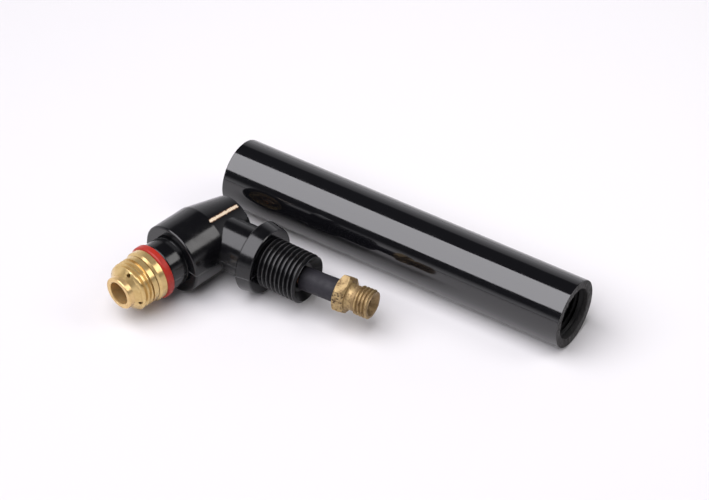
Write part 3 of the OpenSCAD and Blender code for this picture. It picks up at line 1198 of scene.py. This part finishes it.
    def _rooms(self) -> list[Piece]:
        """Makes what the moulding leaves room for: the brass shank, the core, the cap socket, the tube and the recess.

        Returns:
            The solids to take away.
        """
        bore = turned("bore_room", [
            (self.socket_d / 2, self.tail_at - LAP), (self.socket_d / 2, self.socket_at),
            (self.core_d / 2, self.socket_at), (self.core_d / 2, -self.shank_back),
            (self.shank_d / 2, -self.shank_back), (self.shank_d / 2, self.neck_end + LAP)], 96)
        recess = turned("recess_room", [
            (self.recess_floor_d / 2, self.stem_end - self.recess_depth),
            (self.recess_d / 2 - 0.15, self.stem_end - 0.3), (self.recess_d / 2 + 0.1, self.stem_end),
            (self.recess_d / 2 + 0.9, self.stem_end + LAP)], 112)
        channel = turned("channel_room", [(self.tube_channel_d / 2, 4 - self.lie.tube_reach),
                                          (self.tube_channel_d / 2, LAP - self.recess_depth)], 64)
        return [self._laid(bore, self.lie.nose), self._laid(recess, self.lie.stem),
                self._laid(channel, self.lie.tube)]


@dataclass
class BrassNose:
    """The brass seat with its cup thread and gas holes, the core through it, and the gasket ring behind it."""

    lie: Lie
    shank_d: float = 16.0
    shank_back: float = 3.0
    gasket_at: float = 29.3
    gasket_d: float = 22.4
    gasket_edge_r: float = 0.8
    collar_at: float = 32.5
    collar_d: float = 21.0
    collar_slope: float = 0.8
    undercut_at: float = 35.8
    undercut_d: float = 17.8
    land_at: float = 36.3
    land_end: float = 38.6
    thread_start: float = 37.71
    cone_at: float = 43.8
    cone_d: float = 19.2
    cone_end: float = 46.3
    tip_at: float = 48.7
    rim_d: float = 13.5
    rim_edge_r: float = 0.5
    core_d: float = 11.8
    bore_d: float = 9.5
    bore_len: float = 26.0
    core_back: float = -4.58
    chamber_d: float = 13.8
    chamber: Point = (-1.0, 44.3)
    hole_d: float = 1.6
    hole_circle_d: float = 17.0
    hole_turn: float = 15.0
    holes: int = 4
    gap: float = 0.02
    cup_thread: Thread = field(default_factory=lambda: Thread(19.6, 2.0))
    collet_thread: Thread = field(default_factory=lambda: Thread(9.0, 1.0, 64, 0.04))
    collet_turns: int = 10
    tube_bore_d: float = 4.5
    chamfer: float = 0.15

    def build(self) -> list[Piece]:
        """Makes the three pieces.

        Returns:
            The finished pieces.
        """
        brass = TurnedBrass(self.lie.nose).material()
        return [self._seat(brass), self._core(), self._gasket()]

    def _seat(self, brass: bpy.types.Material) -> Piece:
        """Makes the seat.

        Args:
            brass: Its material.

        Returns:
            The finished piece.
        """
        c, crest = self.chamfer, self.cup_thread.crest
        slope = (self.cone_end - self.cone_at) / (self.cone_d / 2 - self.rim_d / 2 - self.gap)
        inside = self.rim_d / 2 - 0.8
        cone = [(self.cone_d / 2, self.cone_at), (inside, self.cone_end + slope * (self.rim_d / 2 + self.gap - inside))]
        blank = turned("cup_blank", [(crest, self.thread_start + 0.1), (crest, self.cone_at - 0.3), *cone], 160)
        rod = combine(self.cup_thread.rod("cup_thread", self.thread_start, self.cone_end + 2), blank, Cut.COMMON)
        shank = turned("nozzle_seat_piece", [
            (self.shank_d / 2, -self.shank_back), (self.shank_d / 2, self.collar_at),
            (self.collar_d / 2 - c, self.collar_at), (self.collar_d / 2, self.collar_at + c),
            (self.collar_d / 2, self.undercut_at + 0.2 - self.collar_slope),
            (self.collar_d / 2 - self.collar_slope, self.undercut_at + 0.2),
            (self.undercut_d / 2, self.undercut_at + 0.25), (self.undercut_d / 2, self.land_at),
            (crest - 0.1, self.land_at + 0.05), (crest, self.land_at + c), (crest, self.land_end),
            (crest - 0.9, self.land_end + 0.1)], 160)
        seat = combine(shank, rod, Cut.ADD)
        fit = self.core_d / 2 + self.gap
        room = turned("chamber_room", [
            (fit, -self.shank_back - LAP), (fit, self.chamber[0]), (self.chamber_d / 2, self.chamber[0]),
            (self.chamber_d / 2, self.chamber[1]), (self.rim_d / 2 + self.gap, self.chamber[1]),
            (self.rim_d / 2 + self.gap, self.cone_end + 2)], 128)
        seat = combine(seat, room, Cut.TAKE)
        for hole in self._gas_holes():
            seat = combine(seat, hole, Cut.TAKE)
        inlet = self.core_d / 2 - self.lie.tube_reach
        gas_way = turned("gas_way", [(self.tube_bore_d / 2, inlet), (self.tube_bore_d / 2, inlet + 6)], 48)
        to_nose = self.lie.nose.matrix.inverted() @ self.lie.tube.matrix
        seat = combine(seat, moved(gas_way, to_nose), Cut.TAKE)
        close_up(seat)
        return hand_over(seat, self.lie.nose.matrix, brass, "nozzle_seat", Body.HEAD)

    def _gas_holes(self) -> list[Piece]:
        """Makes the drill for one gas hole, square to the cone face, and turns copies of it round the nose.

        Returns:
            The drills.
        """
        circle = self.hole_circle_d / 2
        drop, width = self.cone_end - self.cone_at, self.cone_d / 2 - self.rim_d / 2 - self.gap
        slope = math.atan2(drop, width)
        depth = (circle - self.core_d / 2) / math.sin(slope)
        height = self.cone_end - drop * (circle - self.rim_d / 2 - self.gap) / width
        drill = turned("gas_drill", [(self.hole_d / 2, -depth), (self.hole_d / 2, -0.08),
                                     (self.hole_d / 2 + 0.35, 0.27)], 32)
        moved(drill, Matrix.Translation((circle, 0, height)) @ Matrix.Rotation(slope, 4, "Y"))
        drills = [drill, *(copied(drill, f"gas_drill_{i}") for i in range(1, self.holes))]
        for i, twin in enumerate(drills):
            moved(twin, Matrix.Rotation(math.radians(180 - self.hole_turn + 360 / self.holes * i), 4, "Z"))
        return drills

    def _core(self) -> Piece:
        """Makes the core with its rounded rim, plain bore and collet thread.

        Returns:
            The finished piece.
        """
        e, rim = self.rim_edge_r, self.rim_d / 2
        root = self.collet_thread.root
        step = self.tip_at - self.bore_len
        core = turned("torch_core_piece", [
            (self.core_d / 2, self.core_back), (self.core_d / 2, self.chamber[1]), (rim, self.chamber[1]),
            *rounded((rim - e, self.tip_at - e), e, 0, 90, 8),
            (self.bore_d / 2 + 0.35, self.tip_at), (self.bore_d / 2, self.tip_at - 0.3),
            (self.bore_d / 2, step), (root, step - 0.2), (root, self.core_back)], 128, ring=True)
        start = step - self.collet_turns * self.collet_thread.pitch
        tap = self.collet_thread.rod("collet_tap", start, step + 0.5, inner=True)
        core = combine(core, tap, Cut.TAKE)
        close_up(core)
        finish = TurnedBrass(self.lie.nose, "bored_brass", (0.74, 0.52, 0.24), (0.64, 0.42, 0.17), feed_mm=0.1)
        return hand_over(core, self.lie.nose.matrix, finish.material(), "torch_core", Body.HEAD)

    def _gasket(self) -> Piece:
        """Makes the red ring.

        Returns:
            The finished piece.
        """
        e, outer, inner = self.gasket_edge_r, self.gasket_d / 2, self.shank_d / 2 + self.gap
        back, front = self.gasket_at + self.gap, self.collar_at - self.gap
        ring = turned("gasket_ring_piece", [
            (inner, back), *rounded((outer - e, back + e), e, -90, 0, 8),
            *rounded((outer - e, front - e), e, 0, 90, 8), (inner, front)], 160, ring=True)
        finish = RedSilicone(self.lie.nose)
        return hand_over(ring, self.lie.nose.matrix, finish.material(), "gasket_ring", Body.HEAD, SOFT_CREASE)


@dataclass
class CapSocket:
    """The brass bush in the tail that the back cap screws into."""

    lie: Lie
    outer_d: float = 15.0
    start: float = -12.6
    end: float = -4.6
    turns: int = 5
    chamfer: float = 0.3
    thread: Thread = field(default_factory=lambda: Thread(12.0, 1.25, 72, 0.05))

    def build(self) -> list[Piece]:
        """Makes the bush.

        Returns:
            The finished piece.
        """
        c, root = self.chamfer, self.thread.root
        bush = turned("cap_socket_piece", [
            (root + c, self.start), (self.outer_d / 2, self.start), (self.outer_d / 2, self.end),
            (root, self.end), (root, self.start + c)], 112, ring=True)
        tap = self.thread.rod("cap_tap", self.start - 0.5, self.start + c + self.turns * self.thread.pitch, inner=True)
        bush = combine(bush, tap, Cut.TAKE)
        close_up(bush)
        finish = TurnedBrass(self.lie.nose, "bush_brass", (0.60, 0.44, 0.21), (0.46, 0.31, 0.13), feed_mm=0.2)
        return [hand_over(bush, self.lie.nose.matrix, finish.material(), "cap_socket", Body.HEAD)]


@dataclass
class TubeAndFitting:
    """The sleeved conductor tube with the worn brass fitting soldered to its end."""

    lie: Lie
    sleeve_d: float = 9.4
    tube_d: float = 7.0
    sleeve_back: float = -2.2
    sleeve_edge_r: float = 0.3
    hex_at: float = 14.0
    hex_af: float = 14.0
    hex_turn: float = 13.0
    waist_at: float = 18.7
    waist_d: float = 10.2
    cove_r: float = 0.9
    thread_at: float = 22.9
    thread_start: float = 20.02
    end: float = 28.7
    socket: float = 5.0
    solder: float = 0.9
    bore_d: float = 4.5
    seal_d: float = 9.0
    gap: float = 0.02
    thread: Thread = field(default_factory=lambda: Thread(11.8, 1.5, 96, 0.06))

    def build(self) -> list[Piece]:
        """Makes the sleeve and the fitting.

        Returns:
            The finished pieces.
        """
        return [self._sleeve(), self._fitting()]

    def _sleeve(self) -> Piece:
        """Makes the sleeve, with softly rounded cut ends.

        Returns:
            The finished piece.
        """
        outer, inner, e = self.sleeve_d / 2, self.tube_d / 2 + self.gap, self.sleeve_edge_r
        end = self.hex_at - self.gap
        sleeve = turned("insulating_sleeve_piece", [
            (inner, self.sleeve_back), *rounded((outer - e, self.sleeve_back + e), e, -90, 0, 4),
            (outer, 2.0), (outer - 0.05, 6.0), (outer, 10.0),
            *rounded((outer - e, end - e), e, 0, 90, 4), (inner, end)], 96, ring=True)
        finish = ShrinkSleeve(self.lie.tube)
        return hand_over(sleeve, self.lie.tube.matrix, finish.material(), "insulating_sleeve", Body.HEAD, SOFT_CREASE)

    def _hexagon(self) -> Piece:
        """Makes the hexagon with its chamfered corners.

        Returns:
            The upright solid.
        """
        flat = self.hex_af / 2
        corner = flat / math.cos(math.pi / 6)
        bevel = corner - flat
        select_none()
        bpy.ops.mesh.primitive_cylinder_add(vertices=6, radius=corner, depth=self.waist_at - self.hex_at + 2,
                                            location=(0, 0, (self.waist_at + self.hex_at) / 2))
        hexagon = named("hose_fitting_piece")
        edit(hexagon)
        bpy.ops.transform.rotate(value=math.pi / 6 + math.radians(self.hex_turn), orient_axis="Z",
                                 center_override=(0, 0, 0))
        leave_edit()
        moved(hexagon, Matrix.Identity(4))
        chamfers = turned("hex_chamfers", [
            (flat - 0.25, self.hex_at), (corner + 0.2, self.hex_at + bevel - 0.1),
            (corner + 0.2, self.waist_at - bevel - 0.3), (flat - 0.5, self.waist_at)], 128)
        return combine(hexagon, chamfers, Cut.COMMON)

    def _fitting(self) -> Piece:
        """Makes the hexagon, the waist, the hose thread and the bore.

        Returns:
            The finished piece.
        """
        fitting = self._hexagon()
        waist, crest, cove = self.waist_d / 2, self.thread.crest, self.cove_r
        neck = turned("waist_neck", [
            (waist, self.hex_at + 3), (waist + cove, self.waist_at - 0.3),
            *rounded((waist + cove, self.waist_at + cove - 0.08), cove, -90, -180),
            (waist, self.thread_at - cove),
            *rounded((waist + cove, self.thread_at - cove), cove, 180, 102),
            (crest - 0.12, self.thread_at), (crest - 0.25, self.thread_at + 0.4)], 128)
        blank = turned("hose_blank", [(crest - 0.3, self.thread_at - 0.2), (crest, self.thread_at + 0.2),
                                      (crest, self.end - 0.45), (crest - 0.55, self.end)], 128)
        rod = combine(self.thread.rod("hose_thread", self.thread_start, self.end + 0.3), blank, Cut.COMMON)
        fitting = combine(combine(fitting, neck, Cut.ADD), rod, Cut.ADD)
        fit, bore = self.tube_d / 2 + self.gap, self.bore_d / 2
        seal = (self.seal_d - self.bore_d) / 2
        room = turned("bore_room", [
            (fit + self.solder + LAP, self.hex_at - LAP), (fit, self.hex_at + self.solder),
            (fit, self.hex_at + self.socket), (bore, self.hex_at + self.socket), (bore, self.end - seal),
            (self.seal_d / 2, self.end), (self.seal_d / 2 + 0.6, self.end + LAP)], 96)
        fitting = combine(fitting, room, Cut.TAKE)
        close_up(fitting)
        finish = WornBrass(self.lie.tube, (self.hex_at, self.waist_at), crest)
        return hand_over(fitting, self.lie.tube.matrix, finish.material(), "hose_fitting", Body.HEAD, 28.0)


@dataclass
class HandleTube:
    """The glossy handle tube, with its sawn mouth, recess, inner thread and bore."""

    lie: Lie
    outer_d: float = 28.0
    length: float = 154.5
    bore_d: float = 17.6
    thread_len: float = 20.0
    mouth_len: float = 4.0
    mouth_d: float = 21.0
    edge: float = 0.4
    lead: float = 1.5
    ragged: float = 0.24
    thread: Thread = field(default_factory=lambda: Thread(20.3, 2.0))

    def build(self) -> list[Piece]:
        """Makes the tube.

        Returns:
            The finished piece.
        """
        e, outer, bore, mouth = self.edge, self.outer_d / 2, self.bore_d / 2, self.mouth_d / 2
        root = self.thread.root
        thread_end = self.length - self.mouth_len
        thread_start = thread_end - self.thread_len
        stations = [self.length * i / 8 for i in range(1, 8)]
        tube = turned("handle_tube_piece", [
            (bore + e, 0), (outer - e, 0), (outer - 0.12, 0.12), (outer, e), *[(outer, s) for s in stations],
            (outer, self.length - e), (outer - 0.12, self.length - 0.12), (outer - e, self.length),
            ((outer + mouth) / 2, self.length), (mouth + e, self.length), (mouth, self.length - e),
            (mouth - 0.1, self.length - self.lead), (root, thread_end), (root, thread_start), (bore, thread_start),
            (bore, e)], 192, ring=True)
        tap = self.thread.rod("handle_tap", thread_start + 0.3, self.length - self.lead, inner=True)
        tube = combine(tube, tap, Cut.TAKE)
        close_up(tube)
        self._fray(tube)
        finish = PolishedTube(self.lie.handle, outer, mouth, root)
        return [hand_over(tube, self.lie.handle.matrix, finish.material(), "handle_tube", Body.HANDLE, 30.0)]

    def _fray(self, tube: Piece) -> None:
        """Roughens the sawn edges of the mouth and of the far end, within the length of the tube.

        Args:
            tube: The upright tube.
        """
        for station in (0.0, self.length):
            inward = self.ragged / 2 if station == 0 else -self.ragged / 2
            select_points(tube, lambda co, at=station: abs(co.z - at) < 0.05)
            bpy.ops.transform.vertex_random(offset=self.ragged, uniform=0.6, normal=0.0, seed=7)
            bpy.ops.transform.translate(value=(0, 0, inward))
            leave_edit()
            for vertex in tube.data.vertices:
                vertex.co.z = min(max(vertex.co.z, 0.0), self.length)


@dataclass
class HiddenJoints:
    """Conductor tube and silver solder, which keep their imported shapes."""

    lie: Lie

    def build(self) -> list[Piece]:
        """Gives each node its finish.

        Returns:
            The nodes.
        """
        copper = DullMetal(self.lie.tube, "drawn_copper", (0.78, 0.42, 0.26), (0.48, 0.22, 0.12)).material()
        silver = DullMetal(self.lie.tube, "silver_solder", (0.78, 0.76, 0.70), (0.50, 0.47, 0.42)).material()
        finishes = {"conductor_tube": copper, "solder_ring_seat": silver, "solder_ring_fitting": silver}
        for node, material in finishes.items():
            piece = frame["nodes"][node]
            piece.data.materials.clear()
            piece.data.materials.append(material)
        return [frame["nodes"][node] for node in finishes]


# ------------------------------------------------------------------------------------------------- the studio


@dataclass
class Studio:
    """Pale floor, a large soft box overhead, a slanted one behind, a pale backdrop in a dark room, and the camera."""

    lie: Lie
    target_from_handle: Vector = Vector((0.05570, -0.001797, -0.014))
    camera_from_handle: Vector = Vector((0.46260, -0.623497, 0.6446))
    focal_px: float = 2486.0
    frame_px: float = 709.0
    floor_size: float = 6.0
    floor_colour: Colour = (0.578, 0.568, 0.572)
    far_colour: Colour = (0.955, 0.940, 0.945)
    floor_grime: Colour = (0.5, 0.5, 0.5)
    far_way: Point = (0.498, 0.868)
    far_reach: Point = (-0.35, 0.42)
    backdrop_way: Vector = Vector((-0.5476, 0.8368, 0.0))
    room_colour: Colour = (0.97, 0.955, 1.0)

    @property
    def target(self) -> Vector:
        """The point that the camera looks at."""
        return self.lie.handle.start + self.target_from_handle

    @property
    def camera_at(self) -> Vector:
        """Where the camera stands."""
        return self.lie.handle.start + self.camera_from_handle

    def build(self) -> None:
        """Sets the studio up."""
        self._floor()
        self._camera()
        self._soft_box("key_box", middle=Vector((-0.225, -0.305, 0.68)), back=Vector((0.0, -0.4226, 0.9063)),
                       along=Vector((1, 0, 0)), size=(0.95, 0.88), radiance=3.4, colour=(0.97, 0.955, 1.0))
        self._soft_box("side_box", middle=Vector((0.824, 0.466, 0.878)), back=Vector((0.62, 0.44, 0.64)),
                       along=Vector((0.73, -0.14, -0.668)), size=(0.72, 0.40), radiance=3.0, colour=(1.0, 0.98, 0.97))
        self._room()

    def _floor(self) -> None:
        """Makes the floor."""
        select_none()
        bpy.ops.mesh.primitive_grid_add(x_subdivisions=8, y_subdivisions=8, size=self.floor_size)
        floor = named("studio_floor")
        r = Recipe("pale_floor")
        clouds = r.noise(r.places["Object"], 9.0, 3.0)
        x, y, _ = r.parts(r.places["Object"])
        reach = r.calc("ADD", r.times(x, self.far_way[0]), r.times(y, self.far_way[1]))
        colour = r.blend(r.ramp(reach, *self.far_reach), self.floor_colour, self.far_colour)
        colour = r.blend(r.times(clouds, 0.02), colour, self.floor_grime)
        floor.data.materials.append(r.finished(r.shader(Base_Color=colour, Roughness=0.62, IOR=1.35)))

    def _camera(self) -> None:
        """Sets the camera up."""
        lens = bpy.data.cameras.new("camera")
        lens.sensor_width = 36.0
        lens.lens = self.focal_px / self.frame_px * lens.sensor_width
        lens.clip_start, lens.clip_end = 0.01, 50.0
        camera = bpy.data.objects.new("camera", lens)
        camera.location = self.camera_at
        camera.rotation_euler = (self.target - self.camera_at).to_track_quat("-Z", "Y").to_euler()
        bpy.context.scene.collection.objects.link(camera)
        bpy.context.scene.camera = camera

    def _soft_box(self, name: str, middle: Vector, back: Vector, along: Vector, size: Point, radiance: float,
                  colour: Colour) -> None:
        """Hangs a soft box.

        Args:
            name: Its name.
            middle: Its middle, from the point that the camera looks at, in metres.
            back: The direction away from its lit face.
            along: The direction of its width.
            size: Its width and height, in metres.
            radiance: How bright its face looks, where the lit floor is about one.
            colour: Its colour.
        """
        light = bpy.data.lights.new(name, "AREA")
        light.shape = "RECTANGLE"
        light.size, light.size_y = size
        # Blender spreads the watts of an area light over four times its area
        light.energy = radiance * 4 * size[0] * size[1]
        light.color = colour
        lamp = bpy.data.objects.new(name, light)
        lamp.location = self.target + middle
        outward = back.normalized()
        across = outward.cross(along).normalized()
        lamp.rotation_euler = Matrix((across.cross(outward), across, outward)).transposed().to_euler()
        bpy.context.scene.collection.objects.link(lamp)

    def _room(self) -> None:
        """Makes the room: a pale backdrop behind the object, pale walls near the floor, and dark above them."""
        r = Recipe("room", world=True)
        way = r.places["Generated"]
        _, _, height = r.parts(way)
        behind = r.node("ShaderNodeVectorMath", operation="DOT_PRODUCT")
        r.feed(behind.inputs[0], way)
        r.feed(behind.inputs[1], self.backdrop_way)
        share = r.ramp(behind.outputs["Value"], -0.06, 0.06)
        backdrop = r.times(r.ramp(height, 0.0, 0.48, 1.0, 0.42, "LINEAR"), r.ramp(height, 0.51, 0.60, 1.0, 0.09))
        walls = r.ramp(height, 0.04, 0.26, 0.9, 0.04)
        background = r.node("ShaderNodeBackground")
        r.feed(background.inputs["Color"], self.room_colour)
        r.feed(background.inputs["Strength"],
               r.calc("ADD", r.times(backdrop, share), r.times(walls, r.calc("SUBTRACT", 1.0, share))))
        bpy.context.scene.world = r.finished(background.outputs[0])


def main() -> None:
    """Builds the studio and the torch in order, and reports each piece."""
    logging.basicConfig(level=logging.INFO, format="%(message)s")
    select_none()
    lie = Lie(frame["record"], HeadMoulding.stem_end)
    Studio(lie).build()
    for assembly in (HeadMoulding, BrassNose, CapSocket, TubeAndFitting, HandleTube, HiddenJoints):
        for piece in assembly(lie).build():
            log.info("%s: %d faces", piece.name, len(piece.data.polygons))
    bpy.context.scene.view_settings.view_transform = "Standard"


if __name__ == "__main__":
    main()
